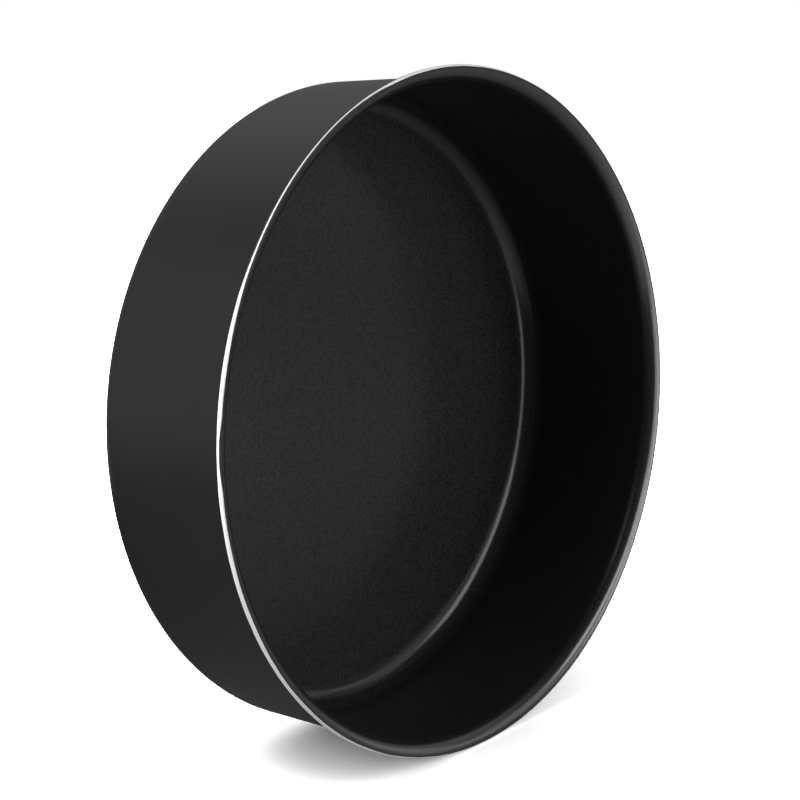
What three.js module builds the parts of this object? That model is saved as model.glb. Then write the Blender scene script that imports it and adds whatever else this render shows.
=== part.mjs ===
// Deep round baking tray: one aluminium disc drawn into a pan with a flared lip,
// with a non-stick film inside and a satin film outside. The trimmed rim edge is bare metal.
// Millimetres, +Z up. The origin is at the centre of the underside, where the tray stands.

import * as THREE from 'three';

// Overall sizes
const RIM_DIAMETER = 280; // over the trimmed edge of the lip
const HEIGHT = 74; // from the surface it stands on to the top of the lip

// The drawn sheet
const SHEET_THICKNESS = 2;
const WALL_DRAFT_DEGREES = 0.4; // the wall leans out by this much, to leave the press tool
const CORNER_INSIDE_RADIUS = 10; // between the floor and the wall
const LIP_UNDERSIDE_RADIUS = 4.5; // of the bend below the lip
const LIP_RISE_DEGREES = 18; // the lip flares out and still climbs by this much
const LIP_FLAT = 1; // the straight flare, from the bend to the round of the trimmed edge
const EDGE_ROUND = 0.5; // on both corners of the trimmed edge

// The films
const INSIDE_FILM_THICKNESS = 0.04;
const OUTSIDE_FILM_THICKNESS = 0.03;
const BOND_LINE = 0.01; // between a film and the metal it is baked onto

// Facets
const STEPS_AROUND = 64;
const STEPS_PER_BEND = 6; // in the floor's corner, and in the lip's bend
const STEPS_PER_EDGE_ROUND = 4;

const rimRadius = RIM_DIAMETER / 2;
const draft = THREE.MathUtils.degToRad(WALL_DRAFT_DEGREES);
const insideFilmDepth = BOND_LINE + INSIDE_FILM_THICKNESS;
const outsideFilmDepth = BOND_LINE + OUTSIDE_FILM_THICKNESS;
const edgeRound = Math.min(EDGE_ROUND, SHEET_THICKNESS / 2);

// Directions in the profile, radius first: out along the flared lip, and from its underside to its top.
const rise = THREE.MathUtils.degToRad(LIP_RISE_DEGREES);
const alongLip = new THREE.Vector2(Math.cos(rise), Math.sin(rise));
const acrossLip = new THREE.Vector2(-Math.sin(rise), Math.cos(rise));

// The bends of both faces of the sheet share two centres: one inside the corner, one below the lip.
const lipInsideRadius = LIP_UNDERSIDE_RADIUS + SHEET_THICKNESS;
const lipCentre = new THREE.Vector2(
  rimRadius - edgeRound - LIP_FLAT * alongLip.x - (LIP_UNDERSIDE_RADIUS + edgeRound) * acrossLip.x,
  HEIGHT - edgeRound - LIP_FLAT * alongLip.y - (lipInsideRadius - edgeRound) * acrossLip.y,
);
const cornerHeight = outsideFilmDepth + SHEET_THICKNESS + CORNER_INSIDE_RADIUS;
const bendRadii = CORNER_INSIDE_RADIUS + lipInsideRadius;
const wallLength = (lipCentre.y - cornerHeight + bendRadii * Math.sin(draft)) / Math.cos(draft);
const cornerCentre = new THREE.Vector2(
  lipCentre.x - bendRadii * Math.cos(draft) - wallLength * Math.sin(draft),
  cornerHeight,
);

/** Points on a round stretch of the profile, both ends included. Angles count from the radial direction. */
function arc(centre, radius, fromAngle, toAngle, steps) {
  return Array.from({ length: steps + 1 }, (_, step) => {
    const angle = THREE.MathUtils.lerp(fromAngle, toAngle, step / steps);
    return new THREE.Vector2(centre.x + radius * Math.cos(angle), centre.y + radius * Math.sin(angle));
  });
}

/** The end of the lip's straight flare, on the line at this distance from the centre of the lip's bend. */
function flareEnd(distance) {
  return lipCentre.clone().addScaledVector(acrossLip, distance).addScaledVector(alongLip, LIP_FLAT);
}

/**
 * Profile of a surface parallel to the tray's inside, from the axis out to the end of the lip's flare.
 * `offset` is its distance from the bare metal inside: towards the opening if positive, and
 * minus the sheet's thickness for the bare metal outside.
 */
function parallelFace(offset) {
  const cornerRadius = CORNER_INSIDE_RADIUS - offset;
  const lipRadius = lipInsideRadius + offset;
  return [
    new THREE.Vector2(0, cornerCentre.y - cornerRadius),
    ...arc(cornerCentre, cornerRadius, -Math.PI / 2, -draft, STEPS_PER_BEND),
    ...arc(lipCentre, lipRadius, Math.PI - draft, Math.PI / 2 + rise, STEPS_PER_BEND),
    flareEnd(lipRadius),
  ];
}

/** A solid of revolution about +Z between two profiles that both start on the axis. */
function turned(lowerProfile, edgeProfile, upperProfile) {
  const outline = [...lowerProfile, ...edgeProfile, ...upperProfile.toReversed()];
  return new THREE.LatheGeometry(outline, STEPS_AROUND).rotateX(Math.PI / 2);
}

/** The trimmed edge: bare, square to the lip, with both corners broken by a small round. */
function trimmedEdge() {
  const lowerCentre = flareEnd(LIP_UNDERSIDE_RADIUS + edgeRound);
  const upperCentre = flareEnd(lipInsideRadius - edgeRound);
  const lowerRound = arc(lowerCentre, edgeRound, rise - Math.PI / 2, rise, STEPS_PER_EDGE_ROUND);
  const upperRound = arc(upperCentre, edgeRound, rise, rise + Math.PI / 2, STEPS_PER_EDGE_ROUND);
  return [...lowerRound.slice(1), ...upperRound.slice(0, -1)];
}

/** The drawn sheet: floor, corner, wall and lip in one piece of even thickness. */
function aluminiumBody() {
  const geometry = turned(parallelFace(-SHEET_THICKNESS), trimmedEdge(), parallelFace(0));
  const material = new THREE.MeshStandardMaterial({ color: 0xd9dadb, roughness: 0.35, metalness: 1 });
  return named('aluminium_body', geometry, material);
}

/** The non-stick film on the floor, the wall and the top of the lip. It stops at the trimmed edge's round. */
function insideCoating() {
  const geometry = turned(parallelFace(BOND_LINE), [], parallelFace(insideFilmDepth));
  const material = new THREE.MeshStandardMaterial({ color: 0x242425, roughness: 0.55, metalness: 0 });
  return named('inside_coating', geometry, material);
}

/** The satin film under the base, up the wall's outside and under the lip. */
function outsideCoating() {
  const bonded = -SHEET_THICKNESS - BOND_LINE;
  const exposed = -SHEET_THICKNESS - outsideFilmDepth;
  const geometry = turned(parallelFace(exposed), [], parallelFace(bonded));
  const material = new THREE.MeshStandardMaterial({ color: 0x2c2c2e, roughness: 0.4, metalness: 0 });
  return named('outside_coating', geometry, material);
}

function named(name, geometry, material) {
  const mesh = new THREE.Mesh(geometry, material);
  mesh.name = name;
  return mesh;
}

const bakingTray = new THREE.Group();
bakingTray.name = 'round_baking_tray';
bakingTray.add(aluminiumBody(), insideCoating(), outsideCoating());

export default bakingTray;
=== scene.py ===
# Deep round baking tray of drawn aluminium, coated dark inside and out, with a bare trimmed rim edge.
# Metres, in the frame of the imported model: +Z is the tray's axis, up through its opening.

import math

import bpy
import numpy as np
from mathutils import Matrix, Vector


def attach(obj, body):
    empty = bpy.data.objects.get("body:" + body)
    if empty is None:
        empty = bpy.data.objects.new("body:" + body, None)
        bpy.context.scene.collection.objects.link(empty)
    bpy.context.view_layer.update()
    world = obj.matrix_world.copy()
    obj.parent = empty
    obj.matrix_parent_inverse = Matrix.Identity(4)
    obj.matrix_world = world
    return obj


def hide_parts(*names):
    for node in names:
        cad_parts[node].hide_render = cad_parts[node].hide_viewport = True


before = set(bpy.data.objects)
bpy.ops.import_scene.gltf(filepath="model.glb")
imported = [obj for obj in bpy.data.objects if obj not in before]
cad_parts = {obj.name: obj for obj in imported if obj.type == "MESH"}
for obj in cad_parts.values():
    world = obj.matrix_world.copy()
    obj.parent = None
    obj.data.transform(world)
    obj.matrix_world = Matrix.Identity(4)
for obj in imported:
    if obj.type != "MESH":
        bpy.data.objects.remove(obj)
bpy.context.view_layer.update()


# The body: one disc of 2 mm aluminium sheet, deep drawn into a floor, a rounded corner, an almost
# upright wall and a lip that flares out and still climbs. The films hide all but its trimmed edge,
# which was turned to size on a lathe after drawing and stays bare.
rim_radius = 0.140
tray_height = 0.074
sheet = 0.002
wall_draft = math.radians(0.4)
corner_inside = 0.010
lip_underside = 0.0045
lip_rise = math.radians(18)
lip_flare = 0.001
edge_round = 0.0005
bond_line = 0.00001
inside_film = 0.00004
outside_film = 0.00003

# Facets, and the angle past which the shading breaks at an edge.
steps_around = 480
corner_steps = 24
lip_steps = 18
straight_steps = 12
edge_steps = 8
crease = math.radians(35)

lip_inside = lip_underside + sheet
along_lip = np.array([math.cos(lip_rise), math.sin(lip_rise)])
across_lip = np.array([-math.sin(lip_rise), math.cos(lip_rise)])
lip_centre = np.array([
    rim_radius - edge_round - lip_flare * along_lip[0] - (lip_underside + edge_round) * across_lip[0],
    tray_height - edge_round - lip_flare * along_lip[1] - (lip_inside - edge_round) * across_lip[1],
])
corner_height = bond_line + outside_film + sheet + corner_inside
bend_radii = corner_inside + lip_inside
wall_rise = lip_centre[1] - corner_height
wall_length = (wall_rise + bend_radii * math.sin(wall_draft)) / math.cos(wall_draft)
corner_centre = np.array([
    lip_centre[0] - bend_radii * math.cos(wall_draft) - wall_length * math.sin(wall_draft),
    corner_height,
])


def arc(centre, radius, start, end, steps):
    """A round stretch of a profile: centre plus radius times (cos, sin) of an angle, start to end."""
    angle = np.linspace(start, end, steps + 1)
    return centre + radius * np.column_stack([np.cos(angle), np.sin(angle)])


def straight(first, last):
    """The inner points of a straight stretch. They crowd at both ends, by half a cosine wave,
    so that the shading of the bends beside it stays in the bends."""
    share = (1 - np.cos(np.linspace(0, np.pi, straight_steps + 1)[1:-1])) / 2
    return first + share[:, None] * (last - first)


def parallel_face(offset):
    """Profile (radius, height) of a face parallel to the bare inside, from the axis to the flare's end.
    The offset counts towards the opening: the corner's radius shrinks by it and the lip's grows by it.
    Floor line, corner arc, wall line, lip arc and flare line follow each other, tangent throughout."""
    corner_radius, lip_radius = corner_inside - offset, lip_inside + offset
    axis_point = np.array([0.0, corner_centre[1] - corner_radius])
    corner = arc(corner_centre, corner_radius, -math.pi / 2, -wall_draft, corner_steps)
    lip = arc(lip_centre, lip_radius, math.pi - wall_draft, math.pi / 2 + lip_rise, lip_steps)
    flare_end = lip_centre + lip_radius * across_lip + lip_flare * along_lip
    return np.vstack([
        axis_point, straight(axis_point, corner[0]),
        corner, straight(corner[-1], lip[0]),
        lip, straight(lip[-1], flare_end), flare_end,
    ])


def turned(name, outline):
    """A closed piece: the outline (radius, height) carried round +Z, (r, z) to (r cos a, r sin a, z).
    It starts and ends on the axis, where a fan closes each pole, and runs underside, edge, inside."""
    turn = np.arange(steps_around)
    next_turn = (turn + 1) % steps_around
    angle = np.linspace(0, 2 * np.pi, steps_around, endpoint=False)
    rings = outline[1:-1]
    grid = np.stack([
        np.outer(rings[:, 0], np.cos(angle)),
        np.outer(rings[:, 0], np.sin(angle)),
        np.repeat(rings[:, 1:], steps_around, axis=1),
    ], axis=-1).reshape(-1, 3)
    here = np.arange(len(rings) - 1)[:, None] * steps_around
    there = here + steps_around
    quads = np.stack([here + turn, here + next_turn, there + next_turn, there + turn], axis=-1)
    poles = np.array([[0, 0, outline[0, 1]], [0, 0, outline[-1, 1]]])
    last = (len(rings) - 1) * steps_around
    lower = np.column_stack([np.full(steps_around, len(grid)), next_turn, turn])
    upper = np.column_stack([np.full(steps_around, len(grid) + 1), last + turn, last + next_turn])
    faces = quads.reshape(-1, 4).tolist() + lower.tolist() + upper.tolist()
    mesh = bpy.data.meshes.new(name)
    mesh.from_pydata(np.vstack([grid, poles]).tolist(), [], faces)
    mesh.shade_smooth()
    mesh.set_sharp_from_angle(angle=crease)
    piece = bpy.data.objects.new(name, mesh)
    bpy.context.scene.collection.objects.link(piece)
    return piece


lower_corner = lip_centre + (lip_underside + edge_round) * across_lip + lip_flare * along_lip
upper_corner = lip_centre + (lip_inside - edge_round) * across_lip + lip_flare * along_lip
trimmed_edge = np.vstack([
    arc(lower_corner, edge_round, lip_rise - math.pi / 2, lip_rise, edge_steps)[1:],
    arc(upper_corner, edge_round, lip_rise, lip_rise + math.pi / 2, edge_steps)[:-1],
])
body = turned("drawn_body", np.vstack([parallel_face(-sheet), trimmed_edge, parallel_face(0.0)[::-1]]))


def new_material(name):
    """An empty node material, its nodes and its output node."""
    material = bpy.data.materials.new(name)
    material.use_nodes = True
    material.node_tree.nodes.clear()
    return material, material.node_tree, material.node_tree.nodes.new("ShaderNodeOutputMaterial")


def place(tree, kind, inputs, **settings):
    """Adds one shader node. Each input, by name or number, gets a plain value or a node's output."""
    made = tree.nodes.new(kind)
    for name, value in settings.items():
        setattr(made, name, value)
    for socket, value in inputs.items():
        if isinstance(value, bpy.types.NodeSocket):
            tree.links.new(value, made.inputs[socket])
        else:
            made.inputs[socket].default_value = value
    return made


def calculate(tree, operation, *terms):
    """One step of arithmetic on numbers or nodes' outputs, named by its operation."""
    return place(tree, "ShaderNodeMath", dict(enumerate(terms)), operation=operation).outputs[0]


def measure(tree, operation, *places):
    """One number from vectors: a length, a distance or a dot product."""
    made = place(tree, "ShaderNodeVectorMath", dict(enumerate(places)), operation=operation)
    return made.outputs["Value"]


def ramp(tree, value, start, end, low=0.0, high=1.0, curve="LINEAR"):
    """Low up to start, high from end on, and in between a straight line or a smooth step."""
    return place(tree, "ShaderNodeMapRange", {
        "Value": value, "From Min": start, "From Max": end, "To Min": low, "To Max": high,
    }, interpolation_type=curve).outputs[0]


def blend(tree, share, first, second):
    """The colour that lies this share of the way from the first to the second."""
    colours = {"Factor": share, 6: first, 7: second}
    return place(tree, "ShaderNodeMix", colours, data_type="RGBA").outputs[2]


def noise(tree, spot, scale, detail, roughness=0.5):
    """Cloudy noise with this many lumps to the metre, and finer layers by detail and roughness."""
    return place(tree, "ShaderNodeTexNoise", {
        "Vector": spot, "Scale": scale, "Detail": detail, "Roughness": roughness}).outputs["Fac"]


def bump(tree, height, strength, distance):
    """Normals tipped by the slope of a height that spans this distance."""
    return place(tree, "ShaderNodeBump", {
        "Height": height, "Strength": strength, "Distance": distance}).outputs[0]


def axis_distance(tree, spot):
    """How far a place lies from the tray's axis: the length of its x and y."""
    flat = place(tree, "ShaderNodeVectorMath", {0: spot, 1: (1, 1, 0)}, operation="MULTIPLY").outputs[0]
    return measure(tree, "LENGTH", flat)


bare_aluminium, tree, output = new_material("bare_aluminium")
spot = place(tree, "ShaderNodeTexCoord", {}).outputs["Object"]
x, y, z = place(tree, "ShaderNodeSeparateXYZ", {0: spot}).outputs
# Height across the edge, 0 at the underside and 1 at the top of the sheet.
lean = calculate(tree, "MULTIPLY", axis_distance(tree, spot), float(across_lip[0]))
across = calculate(tree, "MULTIPLY_ADD", z, float(across_lip[1]), lean)
underside = float((lip_centre + lip_underside * across_lip) @ across_lip)
level = ramp(tree, across, underside, underside + sheet)
# Lathe lines: noise drawn out round the rim, a few centimetres long and a tenth of a millimetre wide.
lines_per_metre = (45, 45, 9000)
line_spot = place(tree, "ShaderNodeCombineXYZ", {0: x, 1: y, 2: across}).outputs[0]
line_spot = place(tree, "ShaderNodeMapping", {"Vector": line_spot, "Scale": lines_per_metre}).outputs[0]
lines = noise(tree, line_spot, 1.0, 3.0)
# Both coats creep round their corner of the edge, by a share of the sheet's thickness that wavers.
noise_span = (0.3, 0.7)  # nearly all of a noise lies between these
low_creep = noise(tree, spot, 55.0, 6.0, 0.6)
high_creep = noise(tree, spot, 38.0, 6.0, 0.6)
low_reach = ramp(tree, low_creep, *noise_span, 0.14, 0.25)
high_reach = ramp(tree, high_creep, *noise_span, 0.0, 0.06)
# In places they ran further over it while wet. A run has its middle, the half widths of its core and of
# its whole, in degrees round +Z, and its reach. Its ends waver by a few degrees.
low_runs = ((-55, 18, 36, 0.43),)
high_runs = ((-48, 14, 30, 0.26), (-5.5, 1.5, 5.5, 0.38), (180, 55, 75, 0.28))
waver = 0.06
turn = calculate(tree, "ARCTAN2", y, x)
turn = calculate(tree, "ADD", turn, ramp(tree, low_creep, 0.0, 1.0, -waver, waver))


def add_run(reach, middle, core, whole, run_reach):
    """The larger of a coat's reach and of one run's, which rises by a smooth step from ends to core."""
    aside = calculate(tree, "SUBTRACT", turn, math.radians(middle))
    aside = calculate(tree, "ABSOLUTE", calculate(tree, "WRAP", aside, math.pi, -math.pi))
    run = ramp(tree, aside, math.radians(whole), math.radians(core), 0.0, run_reach, "SMOOTHSTEP")
    return calculate(tree, "MAXIMUM", reach, run)


for run in low_runs:
    low_reach = add_run(low_reach, *run)
for run in high_runs:
    high_reach = add_run(high_reach, *run)
above = calculate(tree, "GREATER_THAN", level, low_reach)
below = calculate(tree, "LESS_THAN", level, calculate(tree, "SUBTRACT", 1.0, high_reach))
bare = calculate(tree, "MULTIPLY", above, below)
dull_metal = (0.88, 0.885, 0.89, 1)
bright_metal = (0.95, 0.95, 0.955, 1)
crept_coat = (0.012, 0.012, 0.013, 1)
edge_tone = blend(tree, bare, crept_coat, blend(tree, lines, dull_metal, bright_metal))
# The lathe's lines scatter much of the light, so the bare edge is whiter than a polished one.
turned_metallic = 0.35
shader = place(tree, "ShaderNodeBsdfPrincipled", {
    "Base Color": edge_tone,
    "Metallic": calculate(tree, "MULTIPLY", bare, turned_metallic),
    "Roughness": ramp(tree, lines, *noise_span, 0.42, 0.56),
    "Normal": bump(tree, lines, 0.35, 0.00004),
})
tree.links.new(shader.outputs[0], output.inputs["Surface"])

body.data.materials.append(bare_aluminium)
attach(body, "root")
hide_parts("aluminium_body")


# The non-stick film: a dark fluoropolymer sprayed on the floor, the wall and the top of the lip, then
# baked. It is matt, has the fine grain of the spray and a few pale mineral flecks, and stops at the
# round of the trimmed edge.
inside_outline = np.vstack([parallel_face(bond_line), parallel_face(bond_line + inside_film)[::-1]])
inside = turned("nonstick_film", inside_outline)

# What both films have from the spray: fine grain, wide clouds, and flecks in a share of small cells.
sprayed = bpy.data.node_groups.new("sprayed_film", "ShaderNodeTree")
for name in ("Grain Scale", "Fleck Scale", "Fleck Share", "Cloud Scale"):
    sprayed.interface.new_socket(name, in_out="INPUT", socket_type="NodeSocketFloat")
for name in ("Grain", "Flecks", "Clouds"):
    sprayed.interface.new_socket(name, in_out="OUTPUT", socket_type="NodeSocketFloat")
given = sprayed.nodes.new("NodeGroupInput").outputs
spot = place(sprayed, "ShaderNodeTexCoord", {}).outputs["Object"]
cells = place(sprayed, "ShaderNodeTexVoronoi", {
    "Vector": spot, "Scale": given["Fleck Scale"], "Randomness": 1.0}, feature="F1").outputs
lot = place(sprayed, "ShaderNodeSeparateColor", {0: cells["Color"]}).outputs[0]
chosen = calculate(sprayed, "LESS_THAN", lot, given["Fleck Share"])
fleck_core, fleck_edge = 0.15, 0.45
fleck = ramp(sprayed, cells["Distance"], fleck_core, fleck_edge, 1.0, 0.0)
place(sprayed, "NodeGroupOutput", {
    "Grain": noise(sprayed, spot, given["Grain Scale"], 1.5),
    "Flecks": calculate(sprayed, "MULTIPLY", chosen, fleck),
    "Clouds": noise(sprayed, spot, given["Cloud Scale"], 3.0, 0.55),
})

nonstick, tree, output = new_material("nonstick_film")
film = place(tree, "ShaderNodeGroup", {
    "Grain Scale": 1150.0, "Fleck Scale": 1500.0, "Fleck Share": 0.06, "Cloud Scale": 14.0,
}, node_tree=sprayed).outputs
grain_hollow = (0.009, 0.009, 0.010, 1)
grain_top = (0.024, 0.024, 0.0265, 1)
mineral_fleck = (0.030, 0.030, 0.031, 1)
ground = blend(tree, ramp(tree, film["Grain"], *noise_span), grain_hollow, grain_top)
# The wet film gathers on the lip, where its clear binder rises and makes it glossier than the floor.
# It thins again towards the trimmed edge. Both changes come in between two radii.
spot = place(tree, "ShaderNodeTexCoord", {}).outputs["Object"]
radius = axis_distance(tree, spot)
rising = ramp(tree, radius, 0.1338, 0.1355, curve="SMOOTHSTEP")
thinning = ramp(tree, radius, 0.1377, 0.1389, 1.0, 0.3)
# The spray pools in the corner and lies smoother there, meets the wall at a slant and lies drier there,
# and flows out on the lip. Each change has the two radii between which it comes in, and its factor.
matt_changes = ((0.1205, 0.1235, 0.78), (0.1318, 0.1332, 1.9), (0.1337, 0.1346, 0.6))
matt = ramp(tree, film["Clouds"], *noise_span, 0.215, 0.245)
for first, last, factor in matt_changes:
    matt = calculate(tree, "MULTIPLY", matt, ramp(tree, radius, first, last, 1.0, factor))
shader = place(tree, "ShaderNodeBsdfPrincipled", {
    "Base Color": blend(tree, film["Flecks"], ground, mineral_fleck),
    "Roughness": matt,
    "IOR": 1.40,
    "Normal": bump(tree, film["Grain"], 0.22, 0.0001),
    "Coat Weight": calculate(tree, "MULTIPLY", rising, thinning),
    "Coat Roughness": 0.23,
    "Coat IOR": 1.52,
})
tree.links.new(shader.outputs[0], output.inputs["Surface"])

inside.data.materials.append(nonstick)
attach(inside, "root")
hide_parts("inside_coating")


# The outside film: a satin black lacquer sprayed under the base, up the wall and under the lip, then
# baked. It flowed out smoother than the inside film and shows only a faint orange peel.
outside_outline = np.vstack([
    parallel_face(-sheet - bond_line - outside_film), parallel_face(-sheet - bond_line)[::-1]])
outside = turned("satin_film", outside_outline)

satin, tree, output = new_material("satin_film")
film = place(tree, "ShaderNodeGroup", {
    "Grain Scale": 420.0, "Fleck Scale": 1500.0, "Fleck Share": 0.004, "Cloud Scale": 22.0,
}, node_tree=sprayed).outputs
lacquer_deep = (0.006, 0.006, 0.0062, 1)
lacquer_pale = (0.009, 0.009, 0.0092, 1)
dust_fleck = (0.03, 0.03, 0.031, 1)
ground = blend(tree, film["Clouds"], lacquer_deep, lacquer_pale)
shader = place(tree, "ShaderNodeBsdfPrincipled", {
    "Base Color": blend(tree, film["Flecks"], ground, dust_fleck),
    "Roughness": ramp(tree, film["Clouds"], *noise_span, 0.33, 0.37),
    "IOR": 1.40,
    "Normal": bump(tree, film["Grain"], 0.12, 0.0001),
})
tree.links.new(shader.outputs[0], output.inputs["Surface"])

outside.data.materials.append(satin)
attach(outside, "root")
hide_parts("outside_coating")


# The camera: a long lens 0.79 m from the tray, which stands on its rim edge and base corner with the
# opening turned half to the right. Its place, its turn and its lens are fitted to the tray's outlines.
camera_place = Vector((0.55955, -0.14994, 0.53165))
right = Vector((-0.653318, 0.059456, 0.754745))
up = Vector((-0.184284, -0.979416, -0.082364))
back = right.cross(up)
camera_data = bpy.data.cameras.new("camera")
camera_data.sensor_width = 36.0
camera_data.lens = 81.89
camera = bpy.data.objects.new("camera", camera_data)
camera.matrix_world = Matrix((
    (right.x, up.x, back.x, camera_place.x),
    (right.y, up.y, back.y, camera_place.y),
    (right.z, up.z, back.z, camera_place.z),
    (0, 0, 0, 1)))
bpy.context.scene.collection.objects.link(camera)
bpy.context.scene.camera = camera


# The floor: a plain white table that the tray stands on, tangent to its rim edge and its base corner.
# It ends a little way before the tray and to its left, and runs on behind and to the right. Its tone in
# the tray's gloss is painted shade and light: it falls off to the left and behind, where the tray's shadow
# lies, and a painted pool of light brightens it before the tray. The camera sees it white, but for the
# foot's shade, which a painted tone deepens.
stand_tilt = math.radians(4.505)
floor_up = Vector((0, -math.cos(stand_tilt), math.sin(stand_tilt)))
outer_corner = corner_inside + sheet + bond_line + outside_film
stand = Vector((0, corner_centre[0], corner_centre[1])) - outer_corner * floor_up
tray_middle = Vector((0, 0, tray_height / 2))
toward = camera_place - tray_middle
toward = (toward - toward.dot(floor_up) * floor_up).normalized()
rightward = floor_up.cross(toward)
# The table's edges, counted from the stand: to the right, and towards the camera.
table_left, table_right = -0.34, 1.15
table_back, table_front = -3.0, 0.30
table_corners = np.array([
    (table_left, table_front), (table_right, table_front),
    (table_right, table_back), (table_left, table_back)])
floor_points = np.array(stand) + table_corners @ np.array([rightward, toward])
floor_mesh = bpy.data.meshes.new("floor")
floor_mesh.from_pydata(floor_points.tolist(), [], [(0, 1, 2, 3)])
floor = bpy.data.objects.new("floor", floor_mesh)
bpy.context.scene.collection.objects.link(floor)


def between(tree, share, first, second):
    """The number that lies this share of the way from the first to the second."""
    numbers = {"Factor": share, 2: first, 3: second}
    return place(tree, "ShaderNodeMix", numbers, data_type="FLOAT").outputs[0]


white_card, tree, output = new_material("white_card")
ray = place(tree, "ShaderNodeLightPath", {}).outputs
spot = place(tree, "ShaderNodeTexCoord", {}).outputs["Object"]
spot = place(tree, "ShaderNodeVectorMath", {0: spot, 1: stand}, operation="SUBTRACT").outputs[0]
# The tone in the gloss is painted light and shade: two slopes that rise to the front and the right, so
# that it is darker where the tray's shadow falls, to the left and behind, and a pale patch before the tray
# that is a painted pool of light.
ahead = measure(tree, "DOT_PRODUCT", spot, rightward + 2 * toward)
gloss_near_painted_slope = ramp(tree, ahead, -0.35, 0.22, 0.08, 0.39)
gloss_far_painted_slope = ramp(tree, ahead, 0.22, 1.2, 0.0, 0.26)
before = ramp(tree, measure(tree, "DOT_PRODUCT", spot, toward), 0.03, 0.20, 0.0, 0.65, "SMOOTHSTEP")
aside = ramp(tree, measure(tree, "DOT_PRODUCT", spot, rightward), 0.0, 0.25, curve="SMOOTHSTEP")
gloss_painted_light_and_shade = calculate(tree, "ADD", gloss_near_painted_slope, gloss_far_painted_slope)
gloss_painted_light_and_shade = calculate(tree, "MULTIPLY_ADD", before, aside, gloss_painted_light_and_shade)
# What the camera sees: a gain that grows with the distance from the middle of the foot's shade. It is
# painted shade and light: kept low round the foot, so that its shadow shows darker there, and raised
# further out, so that the tray's other shadows are painted out white.
shade = -0.012 * rightward + 0.05 * toward
from_shade = measure(tree, "DISTANCE", spot, shade)
seen_painted_foot_shade = ramp(tree, from_shade, 0.015, 0.046, 1.65, 2.65, "SMOOTHSTEP")
seen_far_painted_light = ramp(tree, from_shade, 0.08, 0.32, 0.0, 4.0)
seen_painted_shade_and_light = calculate(tree, "ADD", seen_painted_foot_shade, seen_far_painted_light)
card = place(tree, "ShaderNodeBsdfDiffuse", {
    "Color": between(tree, ray["Is Camera Ray"], gloss_painted_light_and_shade, seen_painted_shade_and_light)}).outputs[0]
clear = place(tree, "ShaderNodeBsdfTransparent", {}).outputs[0]
underneath = place(tree, "ShaderNodeNewGeometry", {}).outputs["Backfacing"]
sided = place(tree, "ShaderNodeMixShader", {0: underneath, 1: card, 2: clear})
tree.links.new(sided.outputs[0], output.inputs["Surface"])
floor_mesh.materials.append(white_card)


# The light: a dim room and eight soft boxes. A slanted strip to the right of the camera and two low boxes
# below it draw the lines of the corner and the lip, three dim ones behind and to the left give the walls
# their tone, and two on the left light the bare edge. Bearings count from the camera to the right.
world = bpy.data.worlds.new("dim_room")
world.use_nodes = True
tree = world.node_tree
tree.nodes.clear()
ray = place(tree, "ShaderNodeLightPath", {}).outputs
heading = place(tree, "ShaderNodeTexCoord", {}).outputs["Generated"]
# In the tray's gloss the room grows lighter away from the camera, most of all high up.
facing = measure(tree, "DOT_PRODUCT", heading, -toward)
height = measure(tree, "DOT_PRODUCT", heading, floor_up)
backdrop = ramp(tree, facing, -0.2, 0.9, 0.06, 0.26, "SMOOTHSTEP")
lift = ramp(tree, height, 0.25, 0.85, 0.0, 0.55, "SMOOTHSTEP")
far_side = ramp(tree, facing, 0.0, 0.6, curve="SMOOTHSTEP")
backdrop = calculate(tree, "MULTIPLY_ADD", lift, far_side, backdrop)
fill, white = 0.15, 1.0
mirrored = calculate(tree, "MAXIMUM", ray["Is Glossy Ray"], ray["Is Transmission Ray"])
strength = between(tree, mirrored, fill, backdrop)
strength = between(tree, ray["Is Camera Ray"], strength, white)
room = place(tree, "ShaderNodeBackground", {"Color": (1, 1, 1, 1), "Strength": strength})
room_out = tree.nodes.new("ShaderNodeOutputWorld")
tree.links.new(room.outputs[0], room_out.inputs["Surface"])
bpy.context.scene.world = world

lamp_distance = 2.2


def soft_box(name, bearing, climb, breadth, rise, radiance, slant=0.0):
    """A rectangular lamp aimed at the tray's middle. Bearing and climb give its middle, breadth and
    rise the angles it spans and slant its turn about its aim, all in degrees:
    heading = cos climb (sin bearing rightward + cos bearing toward) + sin climb floor_up,
    side = 2 distance tan(half its angle)."""
    bearing, climb = math.radians(bearing), math.radians(climb)
    heading = math.cos(climb) * (math.sin(bearing) * rightward + math.cos(bearing) * toward)
    heading += math.sin(climb) * floor_up
    lamp = bpy.data.lights.new(name, "AREA")
    lamp.shape = "RECTANGLE"
    lamp.size = 2 * lamp_distance * math.tan(math.radians(breadth) / 2)
    lamp.size_y = 2 * lamp_distance * math.tan(math.radians(rise) / 2)
    lamp.energy = radiance * math.pi * lamp.size * lamp.size_y
    holder = bpy.data.objects.new(name, lamp)
    across = floor_up.cross(heading).normalized()
    over = heading.cross(across)
    aim = Matrix((across, over, heading)).transposed().to_4x4()
    middle = Matrix.Translation(tray_middle + lamp_distance * heading)
    holder.matrix_world = middle @ aim @ Matrix.Rotation(math.radians(slant), 4, "Z")
    holder.visible_camera = False
    bpy.context.scene.collection.objects.link(holder)


soft_box("soft_box_right", 60, 25, 36, 18, 4.6, slant=47)
soft_box("soft_box_front", 50, -1.5, 12, 23, 2.7)
soft_box("soft_box_low", 71, -2, 20, 27, 4.8)
soft_box("soft_box_behind", 89, 25, 24, 30, 0.85)
soft_box("soft_box_far", 111, 9, 26, 20, 0.65)
soft_box("soft_box_left", -88, 14, 40, 46, 0.44)
soft_box("soft_box_edge", -54, 0, 16, 40, 9.0)
soft_box("soft_box_over", -56, 44, 26, 36, 5.0)

bpy.context.scene.view_settings.view_transform = "Standard"
